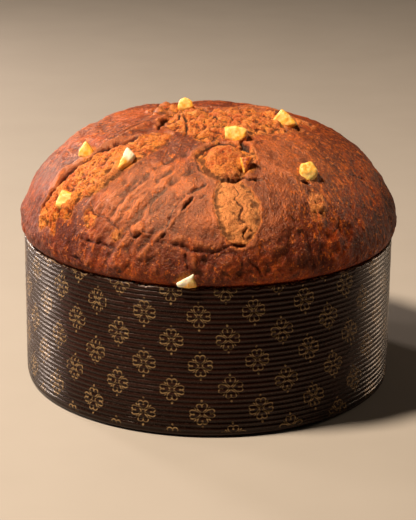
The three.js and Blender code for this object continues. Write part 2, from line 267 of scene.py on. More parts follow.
# Splits in the crust: width, depth, line
CRACKS = [
    (1.9, 3.6, [(-94, -47.5), (-90, -44.5), (-80, -42.8), (-71.5, -38.6), (-64, -37.5), (-58, -38)]),
    (2.4, 5.2, [(-60, -37), (-51, -35), (-47.5, -36.5), (-44.5, -33), (-42, -33.5), (-37.5, -31.5), (-34, -30)]),
    (2.0, 4.2, [(-36.5, -33), (-31.5, -34), (-28, -34.5), (-25, -31), (-18, -32.5)]),
    (2.2, 4.8, [(-25, -25), (-23, -17), (-23.5, -12), (-21, -7), (-15, -4)]),
    (1.3, 3.0, [(-13.5, 3.5), (-10, 10), (-6, 14)]),
    (2.2, 3.6, [(3, 7), (7, 4), (12.7, 8), (20, 13.5), (27, 13.6), (31, 12)]),
    (1.8, 3.2, [(11, -7.7), (14, -2.5), (18.4, -4.5), (22, 1), (26, 1), (29, -2.6)]),
    (1.4, 1.8, [(-14, -3.5), (-12, -13), (-11.2, -26.5), (-12, -35)]),
    (1.5, 2.4, [(-16, -17), (-14, -7), (-11.7, 7), (-7, 13.8)]),
    (1.2, 1.8, [(-4, -4), (2, -10), (4, -18), (1, -26)]),
    (1.3, 3.2, [(8, -9), (12.5, -6), (19, -2)]),
    (1.7, 3.4, [(23, 8), (29, 8.5)]),
    (1.5, 3.4, [(14, 11), (26, 10), (40, 5), (52, 1)]),
    (1.3, 2.6, [(10, 1), (20, -1.5), (32, -4), (46, -8)]),
    (1.3, 2.6, [(-4, -30), (4, -27), (10, -31), (18, -28)]),
    (1.4, 2.8, [(23, -1), (32, -3)]),
    (2.0, 4.0, [(43, 1), (48, 2), (53, 7)]),
    (1.2, 2.6, [(-6, -56), (-3, -51), (-1.5, -48.5), (2, -45.5), (5, -43), (10, -43)]),
    (1.0, 1.4, [(-6.5, -56), (-5.5, -62), (-1.5, -68), (4, -71)]),
    (4.2, 6.0, [(15.5, -42), (19, -46)]),
    (1.3, 2.8, [(8, -72), (13, -71), (17, -68), (20, -68.5), (28, -66)]),
    (0.9, 1.3, [(13.5, -71), (11.8, -75), (14.8, -78.5), (13, -82.5), (17.2, -86), (16, -91), (20.2, -94), (18, -99),
                (20, -104)]),
    (1.0, 1.2, [(8, -101.5), (14, -104.5), (22, -103)]),
    (1.2, 1.5, [(-1, -73), (-6.5, -77), (-10.5, -80)]),
    (1.1, 1.6, [(-10.5, -80), (-15, -84.5), (-19.5, -90), (-23, -98), (-28, -101)]),
    (1.3, 2.4, [(-7, -80.5), (-10, -83.5), (-13.5, -88)]),
    (0.9, 1.2, [(0, -80), (-5, -82)]),
    (1.2, 1.2, [(-42, -90.5), (-40.5, -94.5), (-36.5, -96.5), (-33.5, -95), (-27, -97.5)]),
    (1.1, 1.2, [(-55, -79), (-52, -83.5), (-48, -88.5), (-47, -94)]),
    (1.1, 1.1, [(-60.5, -71.5), (-59.5, -76), (-55, -80)]),
    (1.5, 0.9, [(-33, -99.5), (-24, -102), (-15, -105), (-7, -107.5), (0, -108), (5, -107.5), (10, -105.5)]),
    (1.3, 0.8, [(8, -107), (13.5, -104.3), (20, -103.2), (25, -100.5)]),
    (1.4, 1.2, [(-12, -108), (-12.5, -112), (-11, -117)]),
    (1.3, 1.2, [(22, -110), (28, -113.5), (33, -117)]),
    (1.3, 1.2, [(-71, -82.5), (-61, -91.5), (-50, -98)]),
    (1.2, 1.0, [(-82, -86), (-76, -93.5), (-72, -103)]),
    (1.5, 2.0, [(46, -62.5), (51, -61)]),
    (1.3, 2.8, [(10, 68), (22, 58), (30, 54), (44, 51), (58, 49), (86, 60)]),
    (1.2, 2.2, [(-76, 24), (-66, 30), (-56, 40), (-42, 62), (-36, 92)]),
    (1.1, 1.6, [(92, 10), (84, 22), (86, 36)]),
    (1.1, 1.6, [(-6, 92), (4, 100), (18, 102)]),
    (1.0, 1.2, [(70, -40), (82, -30), (90, -34)]),
]

# Raised folds of the crust, and sunk ones: width, height, line
FOLDS = [
    (3.2, -0.8, [(-24, -109), (-20, -112), (-17, -116)]),
    (3.0, -0.9, [(-3, -110), (-1, -113), (2, -115)]),
    (2.0, 1.8, [(-53, -31), (-44, -27), (-35.5, -19.5), (-27, -11.5), (-23, -9)]),
    (1.6, 1.0, [(-55, -25), (-46, -21), (-37, -13), (-29, -5)]),
    (2.2, 1.6, [(-87, -40), (-78, -37), (-68.5, -33.5), (-61, -33)]),
    (1.6, 1.2, [(-58, -33.5), (-50, -31), (-42, -28.5), (-34, -26)]),
    (1.3, 0.7, [(-48.5, -82.5), (-40, -79), (-33, -74), (-27.5, -69.5)]),
    (1.7, 1.8, [(6, -1), (13, 3), (20, 6.5), (28, 7), (36, 4)]),
    (2.4, 1.8, [(2, 13), (9, 10), (15, 15), (23, 17.5), (32, 16), (44, 12)]),
    (1.8, 1.3, [(12, 6.5), (24, 5), (38, 0), (50, -4)]),
    (1.5, 0.9, [(-90, -66), (-76, -62), (-56, -60), (-38, -50), (-24, -39)]),
    (1.5, 1.2, [(-9, -9), (-2, -5), (8, -4), (16, -9), (26, -10)]),
    (1.5, 0.9, [(-8, -18), (-1, -16), (6, -20), (14, -24), (24, -25)]),
    (3.0, 0.9, [(22, -66.5), (31, -59.5), (40.5, -60), (47.5, -67.5)]),
    (1.3, 0.7, [(-46.5, -80.5), (-43, -78), (-39, -75), (-35, -71.5)]),
    (1.2, 0.6, [(-43, -84), (-37, -78), (-31, -73)]),
    (1.8, 0.8, [(-50.5, -75.5), (-46, -71.5)]),
    (1.3, 0.5, [(-30, -60), (-24, -66.5), (-20, -72.5)]),
    (1.2, 0.5, [(-26, -57), (-19, -62), (-16, -66)]),
    (1.8, 0.5, [(40, -89.5), (49.5, -87.5)]),
    (1.1, 0.6, [(-80.5, -36.5), (-76.5, -36.5), (-72.5, -32.5), (-68, -27)]),
    (1.1, 0.5, [(-103, -53), (-106, -66)]),
    (2.0, 1.2, [(-25, -98.5), (-15, -101.5), (-6, -104.2), (2, -104.8), (9, -102.6)]),
    (1.6, 0.8, [(-41, -92.5), (-32, -96.5), (-26, -98.8)]),
    (2.0, 1.0, [(-9.5, -108.5), (-8.5, -112), (-8, -118)]),
    (2.0, 0.8, [(-69, -80), (-59, -88.5), (-49, -95)]),
    (2.4, 0.9, [(-80, -83), (-74, -91), (-70, -101)]),
    (2.4, 0.8, [(26, -106), (34, -103), (44, -99)]),
    (1.5, 0.5, [(-7, -92), (-2, -97), (5, -99)]),
    (2.0, 0.6, [(22, -104), (30, -98), (38, -95)]),
    (5.0, 1.4, [(-56, 22), (-48, 28), (-40, 34), (-32, 37), (-20, 38)]),
    (2.6, 0.7, [(-20, 60), (-6, 70), (0, 86)]),
    (2.2, 0.6, [(70, 20), (84, 24), (98, 20)]),
]

# Rounded lumps: place, half sizes across and along, height
LUMPS = [
    ((7.5, -58), (9.3, 12.3), 2.6),
    ((-37, -92.5), (4.2, 3.4), 2.2),
    ((-33, -105), (7, 3.4), 0.7),
    ((12, -113), (7, 4.5), 0.8),
    ((-52, -104), (8, 5), 0.7),
    ((-22, 14), (3.2, 3.4), 3.6),
    ((-18, 9), (2.6, 2.4), 2.6),
    ((-25, 8), (2.4, 2.8), 2.4),
    ((-20, 4), (2.2, 1.8), 1.6),
    ((-14.5, 13), (2.2, 2.4), 1.8),
    ((-30, 12), (2.6, 2.2), 1.5),
    ((-27, 3), (1.6, 1.4), 1.0),
    ((-11, -4), (7, 8), 1.2),
    ((-2, -14), (5, 6), 0.8),
    ((4, -8), (6, 7), 0.9),
    ((18, -12), (7, 6), 0.8),
    ((30, -12), (10, 6), 1.0),
    ((2, -28), (7, 6), 0.7),
    ((40, 62), (10, 5), 1.2),
]

# Fields of colour on the crust, partly its own lighter and darker browning and partly painted light and shade, lighter
# on the lit front plates and lens and darker on the shaded far right and low sides: place, reach, and how much lighter
# or darker
TONES_AND_PAINTED_LIGHT = [
    ((-36, -74), 27, 1.4),
    ((-12, -85), 17, 1.0),
    ((15, -89), 16, 1.5),
    ((9, -57), 9, -1.1),
    ((-60, -50), 22, -0.3),
    ((-18, -48), 13, -0.55),
    ((-38, -12), 12, -0.5),
    ((-74, -26), 14, -0.3),
    ((-60, 10), 42, 0.3),
    ((-78, -84), 24, -0.65),
    ((0, -118), 30, -0.15),
    ((46, -118), 34, -0.1),
    ((70, -84), 30, -0.3),
    ((108, -20), 30, -0.7),
    ((36, -92), 12, 0.3),
    ((44, -54), 28, 1.15),
    ((80, -14), 24, 0.4),
]
AMBER_REACH = 6.0

# Where the crust is flecked with orange: place, reach, amount
SPECKS = [
    ((-60, 8), 36, 0.7),
    ((76, -24), 40, 0.6),
    ((56, -72), 15, 0.45),
    ((30, -20), 30, 0.3),
    ((-20, -60), 16, 0.3),
    ((20, 70), 60, 0.3),
]

# Where the crust has crumbled: place and reach
CRUMBLE = ((-21, 9), 9)

# The left front plate of crust is creased like a drawn cloth, along this direction
DRAWN_ALONG = (0.79, 0.62)
DRAWN_ACROSS = (-0.62, 0.79)

crust_noise = Noise(7)
warp_noise = Noise(19)
crumb_noise = Noise(23)


def wrinkles(places):
    """Fine parallel folds in the left front plate of crust."""
    stretched = np.column_stack([places @ DRAWN_ALONG / 4.0, places @ DRAWN_ACROSS, np.zeros(len(places))])
    sharp = 0.5 - 2.2 * np.abs(crust_noise.layered(stretched + 57, 7.0, 2, 0.5))
    folds = 0.7 * crust_noise.layered(stretched, 5.0, 3, 0.6) + 0.8 * sharp
    return round_about(places, (-36, -80), 27) * folds


def creases(places, smooth):
    """Thin wandering folds, dense in the left front plate and sparse elsewhere, from 0 to 1 at their middles."""
    bent = smooth + 3 * np.column_stack([warp_noise.at(smooth + shift, 12) for shift in (150, 250, 350)])
    thin = bell(crust_noise.at(bent, 11), 0.045) * smoothstep(crust_noise.at(smooth + 33, 24), 0.0, 0.5)
    drawn = np.column_stack([bent[:, :2] @ DRAWN_ALONG / 5, bent[:, :2] @ DRAWN_ACROSS, bent[:, 2] / 5])
    near = round_about(places, (-34, -78), 26)
    return np.clip(0.7 * thin + near * bell(crust_noise.at(drawn + 71, 5.5), 0.08), 0, 1)


def cut_tears(height, smooth, warped, jagged):
    """Cuts the tears into the height. Gives how far inside the crumb each place is, and the fray of its edge."""
    crumb = np.full(len(height), -20.0)
    fray = np.ones(len(height))
    crag = np.zeros(len(height))
    island = smoothstep(crumb_noise.layered(smooth + 80, 9, 2), 0.15, 0.6)
    wander = 0.35 * crumb_noise.at(smooth + 20, 4) + 0.2 * crumb_noise.at(smooth + 40, 1.6)
    for tear in TEARS.values():
        into = inside_by(smooth_line(tear.outline, closed=True), jagged)
        into += tear.ragged * wander
        into -= tear.islands * island
        away, _ = distance_to(smooth_line(tear.deep), warped)
        width, depth = tear.groove
        opened = smoothstep(into, -0.3, 0.5)
        floor = tear.step - tear.bulge * smoothstep(into, 0.3, 7) + depth * bell(away, width)
        height -= opened * floor
        height += tear.lip * bell(into + 1.3, 1.2) * (1 - opened)
        fray = np.where(into > crumb, tear.fray, fray)
        crag = np.where(into > crumb, tear.crag, crag)
        crumb = np.maximum(crumb, into)
    lumps = 0.75 * crumb_noise.layered(smooth, 5.5, 2) + 0.34 * crumb_noise.at(smooth, 1.9)
    pores = smoothstep(crumb_noise.at(smooth + 50, 1.7), 0.25, 0.7)
    split = crumb_noise.layered(smooth + 95, 8, 3, 0.6)
    chunks = 1.3 * np.abs(split) - 0.9 * bell(split, 0.09)
    height += smoothstep(crumb, -0.4, 0.8) * (lumps - 0.45 * pores + crag * chunks)
    return crumb, fray


def cut_cracks(height, smooth, jagged):
    """Cuts the cracks into the height. Gives how far the nearest one is, in half widths of it."""
    crack = np.full(len(height), 3.0)
    uneven = 1 + 0.5 * crust_noise.at(smooth + 70, 3)
    for width, depth, line in CRACKS:
        away, along = distance_to(smooth_line(line), jagged)
        open_here = 0.3 + 0.7 * np.sin(math.pi * np.clip(along, 0.02, 0.98)) ** 0.6
        open_here *= uneven
        reach = away / (0.5 * width * np.maximum(open_here, 0.15))
        height -= depth * open_here * np.maximum(0, 1 - reach / 1.6) ** 1.2
        height += 0.1 * depth * bell(reach - 2.4, 1.1)
        # The colour darkens near cracks as painted shade, shallow cracks less
        crack = np.minimum(crack, reach + 0.8 * (1 - smoothstep(depth, 0.5, 2.5)))
    return crack


def raise_folds(height, warped):
    """Lays the folds on the height, fading toward both ends of their lines."""
    for width, rise, line in FOLDS:
        away, along = distance_to(smooth_line(line), warped)
        height += rise * bell(away, width) * np.sin(math.pi * np.clip(along, 0.03, 0.97)) ** 0.5


def raise_lumps(height, jagged):
    """Lays the rounded lumps on the height, each in a shallow ditch."""
    for (x, y), (across, along), rise in LUMPS:
        out = np.hypot((jagged[:, 0] - x) / across, (jagged[:, 1] - y) / along)
        height += rise * np.sqrt(np.maximum(0, 1 - out**2)) - 0.16 * rise * bell(out - 1.12, 0.12)


def crust_shape(places):
    """Height of the crust over the smooth dome, with values that its colours follow."""
    smooth, _ = on_crust(places)
    coarse = [0.9 * warp_noise.at(smooth + 90 * i, 7) + 0.4 * warp_noise.at(smooth - 90 * i, 2.4) for i in (1, 2)]
    fine = [0.45 * warp_noise.at(smooth + 60 * i, 1.7) for i in (3, 4)]
    warped = places + np.column_stack(coarse)
    jagged = warped + np.column_stack(fine)
    from_top = np.hypot(*places.T)
    to_rim = CRUST_LENGTH - from_top

    height = 0.8 * crust_noise.at(smooth, 42) + 0.65 * crust_noise.at(smooth, 17)
    height += 0.5 * crust_noise.layered(smooth, 8, 4, 0.62) + 1.5 * wrinkles(places)
    lumpy = 0.6 * crust_noise.at(smooth + 15, 12) + 0.3 * crust_noise.layered(smooth + 25, 5, 3)
    height += smoothstep(from_top, 88, 102) * lumpy
    crease = creases(places, smooth)
    height -= 0.4 * crease

    crumb, fray = cut_tears(height, smooth, warped, jagged)
    crack = cut_cracks(height, smooth, jagged)
    raise_folds(height, warped)
    crumbled = round_about(warped, *CRUMBLE)
    crumbs = 2.2 * np.abs(crumb_noise.at(smooth + 11, 4.2)) + 1.3 * np.abs(crumb_noise.at(smooth + 13, 2.1))
    height += crumbled * (crumbs - 0.5)
    crumb = np.maximum(crumb, 3 * crumbled - 2.2 + 0.8 * crumb_noise.at(smooth + 17, 2.5))
    raise_lumps(height, jagged)

    height *= smoothstep(to_rim, 1.5, 10)
    rim_waves = ((0.6, 5, 9), (0.5, 6, 3.4), (0.3, 7, 1.7))
    ragged_rim = sum(amount * crumb_noise.at(smooth + shift, size) for amount, shift, size in rim_waves)
    height += ragged_rim * bell(to_rim - 6, 4.5)

    # The crust's own tone with painted light and shade laid in
    tone_and_painted_light = sum(amount * round_about(warped, place, spread) for place, spread, amount in TONES_AND_PAINTED_LIGHT)
    specks = 0.1 + sum(amount * round_about(warped, place, spread) for place, spread, amount in SPECKS)
    specks += 0.5 * bell(crumb, 4)
    sheen = 0.75 - 0.4 * smoothstep(from_top, 86, 108) - 0.35 * smoothstep(places[:, 0], 45, 95)
    sheen -= 0.3 * smoothstep(-places[:, 0], 55, 90)
    sheen += 0.3 * round_about(places, (-24, -80), 26)
    return height, {"crumb": np.clip(crumb, -6, 6), "crack": crack, "crease": crease, "fray": fray, "tone_and_painted_light": tone_and_painted_light,
                    "specks": np.clip(specks, 0, 1), "sheen": np.maximum(sheen, 0.15)}


def ring_lattice(rings):
    """Flat places in rings of six, twelve, eighteen and more, and the triangles between them."""
    places = [np.zeros((1, 2))]
    for ring in range(1, rings + 1):
        angle = 2 * math.pi * np.arange(6 * ring) / (6 * ring)
        places.append(ring / rings * np.column_stack([np.cos(angle), np.sin(angle)]))
    starts = np.array([0] + [1 + 3 * ring * (ring - 1) for ring in range(1, rings + 2)])
    faces = []
    for ring in range(rings):
        step = np.arange(ring + 1)
        for sector in range(6):
            inner = starts[ring] + (sector * ring + step) % max(6 * ring, 1)
            outer = starts[ring + 1] + sector * (ring + 1) + step
            after = starts[ring + 1] + (sector * (ring + 1) + step + 1) % (6 * ring + 6)
            faces.append(np.column_stack([inner, outer, after]))
            faces.append(np.column_stack([inner[:-1], after[:-1], inner[1:]]))
    return np.vstack(places), np.vstack(faces)


def averaged(values, ends, rounds=1):
    """Values averaged over each point's neighbours, a few times over, from the two points of every edge."""
    first, second = ends.T
    count = np.bincount(ends.ravel(), minlength=len(values))
    for _ in range(rounds):
        total = np.bincount(first, values[second], len(values))
        total += np.bincount(second, values[first], len(values))
        values = total / count
    return values


def in_scene(thing):
    bpy.context.scene.collection.objects.link(thing)
    return thing


def read(items, name, kind=float, each=1):
    """One property of all items, as an array."""
    values = np.zeros(each * len(items), kind)
    items.foreach_get(name, values)
    return values


def make_object(name, points, faces, material, values):
    """A smooth shaded object from points in millimetres, with named values at its points."""
    mesh = bpy.data.meshes.new(name)
    mesh.from_pydata((np.asarray(points) * MM).tolist(), [], faces)
    mesh.validate()
    mesh.shade_smooth()
    for key, value in values.items():
        mesh.attributes.new(key, "FLOAT", "POINT").data.foreach_set("value", np.asarray(value, np.float32))
    mesh.materials.append(material)
    return in_scene(bpy.data.objects.new(name, mesh))


class Shader:
    """Builds one material's nodes, with short names for the ones used here."""

    def __init__(self, name):
        self.material = bpy.data.materials.new(name)
        self.material.use_nodes = True
        self.tree = self.material.node_tree
        self.surface = self.tree.nodes["Principled BSDF"]

    def link(self, source, target):
        self.tree.links.new(source, target)

    def feed(self, socket, value):
        if isinstance(value, bpy.types.NodeSocket):
            self.link(value, socket)
        elif value is not None:
            socket.default_value = value

    def node(self, kind, **settings):
        made = self.tree.nodes.new(kind)
        for key, value in settings.items():
            setattr(made, key, value)
        return made

    def set(self, name, value):
        self.feed(self.surface.inputs[name], value)

    def math(self, operation, first, second=None, third=None):
        made = self.node("ShaderNodeMath", operation=operation)
        for socket, value in zip(made.inputs, (first, second, third)):
            self.feed(socket, value)
        return made.outputs[0]

    def plus(self, first, second):
        return self.math("ADD", first, second)

    def minus(self, first, second):
        return self.math("SUBTRACT", first, second)

    def times(self, first, second):
        return self.math("MULTIPLY", first, second)

    def hypot(self, first, second):
        return self.math("SQRT", self.plus(self.times(first, first), self.times(second, second)))

    def range(self, value, low, high, to_low=0.0, to_high=1.0):
        made = self.node("ShaderNodeMapRange", interpolation_type="SMOOTHSTEP")
        for socket, item in zip(made.inputs, (value, low, high, to_low, to_high)):
            self.feed(socket, item)
        return made.outputs[0]

    def mix(self, share, first, second):
        made = self.node("ShaderNodeMix", data_type="RGBA")
        for index, value in ((0, share), (6, first), (7, second)):
            self.feed(made.inputs[index], value)
        return made.outputs[2]

    def tint(self, base, share, amount, *rgb):
        """A colour of 0 to 255 laid over another by a share, which the amount scales."""
        return self.mix(self.times(share, amount), base, colour(*rgb))

    def value(self, name):
        return self.node("ShaderNodeAttribute", attribute_name=name).outputs["Fac"]

    def place(self, stretch=(1.0, 1.0, 1.0)):
        """The object's own coordinates in millimetres, stretched."""
        made = self.node("ShaderNodeMapping", vector_type="POINT")
        made.inputs["Scale"].default_value = tuple(s / MM for s in stretch)
        self.link(self.node("ShaderNodeTexCoord").outputs["Object"], made.inputs["Vector"])
        return made.outputs["Vector"]

    def noise(self, place, size, detail=3.0, roughness=0.5, distortion=0.0):
        made = self.node("ShaderNodeTexNoise")
        self.link(place, made.inputs["Vector"])
        settings = {"Scale": 1 / size, "Detail": detail, "Roughness": roughness, "Distortion": distortion}
        for key, value in settings.items():
            made.inputs[key].default_value = value
        return made.outputs["Fac"]

    def cells(self, place, size):
        made = self.node("ShaderNodeTexVoronoi", feature="F1")
        self.link(place, made.inputs["Vector"])
        made.inputs["Scale"].default_value = 1 / size
        return made.outputs["Distance"]

    def bump(self, height, depth):
        """Bump from a height, depth being the millimetres that one unit of it stands for."""
        made = self.node("ShaderNodeBump")
        made.inputs["Strength"].default_value = 1.0
        made.inputs["Distance"].default_value = depth * MM
        self.link(height, made.inputs["Height"])
        return made.outputs["Normal"]


def colour(red, green, blue):
    """A colour from screen values of 0 to 255, as the linear numbers that a shader takes."""
    screen = [value / 255 for value in (red, green, blue)]
    return (*(v / 12.92 if v < 0.04045 else ((v + 0.055) / 1.055) ** 2.4 for v in screen), 1.0)


def bread_material():
    """Dark satin crust with orange flecks, and open crumb with pores where the crust is torn."""
    s = Shader("bread")
    place = s.place()
    names = ("crumb", "crack", "hollow", "tone_and_painted_light", "amber", "crease")
    crumb_by, crack, hollow, tone_and_painted_light, amber, crease = (s.value(name) for name in names)

    fine = s.noise(place, 1.3, 4, 0.65)
    flow = s.node("ShaderNodeCombineXYZ")
    s.feed(flow.inputs[0], s.value("turned_x"))
    s.feed(flow.inputs[1], s.value("turned_y"))
    s.feed(flow.inputs[2], s.times(s.value("reach"), 0.3))
    streak = s.noise(flow.outputs[0], 1.3, 4, 0.7, 0.4)
    ragged = s.math("MULTIPLY_ADD", s.minus(fine, 0.5), 1.8, crumb_by)
    ragged = s.math("MULTIPLY_ADD", s.minus(streak, 0.5), s.value("fray"), ragged)
    is_crumb = s.range(ragged, -0.2, 0.4)
    broad = s.noise(place, 20, 3, 0.5)
    blotch = s.noise(place, 5, 5, 0.68, 0.9)
    fleck = s.noise(place, 1.3, 3, 0.7, 0.3)
    grain = s.noise(place, 0.7, 2, 0.6)
    specks = s.value("specks")
    more = s.times(specks, 0.09)

    crust = s.mix(s.range(broad, 0.38, 0.62), colour(128, 42, 16), colour(154, 57, 16))
    crust = s.tint(crust, s.range(blotch, 0.5, 0.68), 0.7, 186, 88, 26)
    crust = s.tint(crust, s.range(blotch, 0.49, 0.34), 0.75, 66, 27, 19)
    # Lighter and darker fields, partly the crust's own browning and partly painted light and shade
    crust = s.tint(crust, s.range(tone_and_painted_light, 0.0, 1.0), 0.75, 210, 116, 66)
    crust = s.tint(crust, s.range(tone_and_painted_light, 0.0, -1.0), 0.9, 62, 20, 9)
    lip = s.times(s.range(ragged, -5.5, -2.5), s.range(broad, 0.7, 0.45))
    crust = s.tint(crust, lip, 0.7, 88, 38, 28)
    streaky = s.range(s.plus(streak, more), 0.62, 0.68)
    crust = s.tint(crust, streaky, s.range(specks, 0.1, 0.6, 0.08, 0.6), 224, 108, 24)
    crust = s.tint(crust, s.range(streak, 0.43, 0.36), s.times(specks, 0.7), 58, 19, 10)
    flecked = s.range(s.plus(fleck, more), 0.65, 0.72)
    crust = s.tint(crust, flecked, s.range(specks, 0.1, 0.5, 0.4, 0.8), 236, 132, 48)
    crust = s.tint(crust, s.range(fleck, 0.42, 0.35), s.times(specks, 0.8), 46, 15, 8)
    crust = s.tint(crust, s.range(grain, 0.46, 0.34), 0.4, 44, 14, 8)
    # More painted shade and darker browning where the fields are darkest
    crust = s.tint(crust, s.range(tone_and_painted_light, -0.1, -1.0), 0.55, 66, 21, 9)

    pores = s.cells(place, 1.0)
    pore_mask = s.times(s.range(pores, 0.35, 0.18), s.range(s.noise(place, 2.4, 3), 0.48, 0.6))
    clump = s.noise(place, 2.0, 5, 0.75)
    crumb = s.mix(s.range(s.noise(place, 7.0, 4, 0.7), 0.4, 0.6), colour(214, 90, 20), colour(248, 144, 50))
    # Painted shade in the low parts of the crumb's clumps and painted highlight on their tops
    crumb = s.tint(crumb, s.range(clump, 0.48, 0.35), 0.85, 118, 38, 11)
    crumb = s.tint(crumb, s.range(clump, 0.53, 0.62), 0.6, 252, 172, 86)
    # The same fields lighten and darken the crumb, partly its own colour and partly painted light and shade
    crumb = s.tint(crumb, s.range(tone_and_painted_light, 0.0, 1.0), 0.85, 255, 162, 92)
    crumb = s.tint(crumb, s.range(tone_and_painted_light, 0.0, -1.0), 0.6, 186, 60, 10)
    # Painted shade in the crumb's pores
    crumb = s.tint(crumb, pore_mask, 0.6, 104, 34, 10)
    crumb = s.tint(crumb, s.range(grain, 0.46, 0.34), 0.45, 128, 44, 12)
    crumb = s.tint(crumb, s.range(grain, 0.54, 0.66), 0.5, 255, 192, 116)

    skin = s.mix(is_crumb, crust, crumb)
    edge = s.times(s.range(ragged, -1.2, -0.1), s.range(ragged, 0.3, 0.0))
    skin = s.tint(skin, edge, 0.4, 222, 126, 50)
    skin = s.tint(skin, s.range(s.plus(amber, s.times(fine, 0.6)), 0.6, 1.2), 0.65, 236, 142, 36)
    # Painted highlight on the ridges of the relief and painted shade in its hollows
    skin = s.tint(skin, s.range(hollow, 0.1, 0.7), 0.3, 230, 134, 76)
    skin = s.tint(skin, s.range(hollow, -0.04, -0.55), 0.75, 50, 17, 8)
    # Painted shade in the creases
    skin = s.tint(skin, s.range(crease, 0.4, 0.9), 0.6, 48, 17, 9)
    # Painted shade in the cracks, darkest at their middles
    skin = s.tint(skin, s.range(crack, 2.0, 1.0), 0.3, 122, 34, 8)
    skin = s.tint(skin, s.range(crack, 1.35, 0.5), 0.93, 24, 7, 4)
    s.set("Base Color", skin)

    gloss = s.plus(s.range(blotch, 0.3, 0.7, 0.24, 0.38), s.times(specks, 0.12))
    gloss = s.plus(gloss, s.range(tone_and_painted_light, 0.0, -0.6, 0.0, 0.2))
    s.set("Roughness", s.mix(is_crumb, gloss, (0.7, 0.7, 0.7, 1.0)))
    s.set("Specular IOR Level", s.value("sheen"))
    s.set("Specular Tint", (1.0, 0.7, 0.5, 1.0))

    skin_height = s.plus(s.times(fleck, 0.5), s.times(streak, 0.3))
    skin_height = s.plus(skin_height, s.times(grain, 0.3))
    crumb_height = s.minus(clump, s.times(pore_mask, 0.4))
    height = s.plus(s.times(skin_height, s.minus(1.0, is_crumb)), s.times(s.times(crumb_height, 1.8), is_crumb))
    s.set("Normal", s.bump(height, 1.6))
    return s.material


def make_bread():
    """The cake: a finely divided dome with its relief, a hidden wall inside the case and a flat bottom."""
    places, faces = ring_lattice(CRUST_RINGS)
    places = places * CRUST_LENGTH
    smooth, out = on_crust(places)
    height, values = crust_shape(places)
    ends = np.vstack([faces[:, [0, 1]], faces[:, [1, 2]], faces[:, [2, 0]]])
    # Local relief, which the colour paints lighter on ridges and darker in hollows as painted highlight and shade
    values["hollow"] = height - averaged(height, ends, HOLLOW_ROUNDS)
    points = smooth + out * height[:, None]
    reach = np.hypot(*places.T)
    turned = places / np.maximum(reach, 1)[:, None]
    values["turned_x"], values["turned_y"], values["reach"] = 60 * turned[:, 0], 60 * turned[:, 1], reach
    peel = [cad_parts[name] for name in sorted(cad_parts) if name.startswith("peel_")]
    middles = [np.mean([node.matrix_world @ v.co for v in node.data.vertices], axis=0) for node in peel]
    near = np.min([np.linalg.norm(points - middle / MM, axis=1) for middle in middles], axis=0)
    values["amber"] = bell(near, AMBER_REACH)

    rim = np.arange(len(points) - 6 * CRUST_RINGS, len(points))
    foot = rim + len(rim)
    below = points[rim] * (1, 1, 0) + (0, 0, CAKE_FLOOR)
    middle = len(points) + len(rim)
    points = np.vstack([points, below, [[0, 0, CAKE_FLOOR]]])
    around = np.roll(np.arange(len(rim)), -1)
    sides = np.column_stack([rim, foot, foot[around], rim[around]])
    bottom = np.column_stack([foot, np.full(len(rim), middle), foot[around]])
    values = {key: np.append(value, [value[rim[0]]] * (len(rim) + 1)) for key, value in values.items()}
    piece = make_object("bread", points, faces.tolist(), bread_material(), values)
    add_faces(piece, [*sides.tolist(), *bottom.tolist()])
    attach(piece, "root")
    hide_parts("panettone")


def add_faces(piece, loops):
    """Adds faces between points that a piece already has."""
    mesh = bmesh.new()
    mesh.from_mesh(piece.data)
    mesh.verts.ensure_lookup_table()
    for loop in loops:
        mesh.faces.new([mesh.verts[i] for i in loop])
    mesh.to_mesh(piece.data)
    mesh.free()
    piece.data.shade_smooth()


# The print, in millimetres from a motif's centre: a four-lobed rosette of heart petals with dots above and below
LOBE = (4.35, 1.2)
LOBE_RADIUS = 1.2
LOBE_OPENS = 4.2
PETAL_SIDE = ((4.2, 2.38), (2.5, 1.95), (0.95, 0.35))
BEAD = (3.75, 0.0)
BEAD_RADIUS = 0.2
TICK = ((2.95, 2.75), (3.6, 3.55))
TICK_THINNER = 0.08
DOT_RISE = 7.1
DOT_RADIUS = 0.25
STROKE = 0.27


def motif_distance(s, across, up):
    """Distance from a motif's strokes at a point given by two sockets, folded so that one petal serves for four."""
    wide, tall = s.math("ABSOLUTE", across), s.math("ABSOLUTE", up)
    far, near = s.math("MAXIMUM", wide, tall), s.math("MINIMUM", wide, tall)

    def to_point(x, y):
        return s.hypot(s.minus(far, x), s.minus(near, y))

    def to_segment(start, end):
        (ax, ay), (bx, by) = start, end
        length = math.hypot(bx - ax, by - ay)
        ux, uy = (bx - ax) / length, (by - ay) / length
        dx, dy = s.minus(far, ax), s.minus(near, ay)
        along = s.plus(s.times(dx, ux), s.times(dy, uy))
        beyond = s.minus(along, s.math("MINIMUM", s.math("MAXIMUM", along, 0.0), length))
        return s.hypot(beyond, s.minus(s.times(dx, uy), s.times(dy, ux)))

    lobe = s.math("ABSOLUTE", s.minus(to_point(*LOBE), LOBE_RADIUS))
    lobe = s.math("MAXIMUM", lobe, s.minus(LOBE_OPENS, far))
    strokes = [lobe, s.minus(to_point(*BEAD), BEAD_RADIUS), s.plus(to_segment(*TICK), TICK_THINNER)]
    strokes += [to_segment(a, b) for a, b in zip(PETAL_SIDE, PETAL_SIDE[1:])]
    nearest = strokes[0]
    for other in strokes[1:]:
        nearest = s.math("MINIMUM", nearest, other)
    rise = s.times(s.minus(tall, DOT_RISE), 0.75)
    return s.math("MINIMUM", nearest, s.minus(s.hypot(across, rise), DOT_RADIUS))


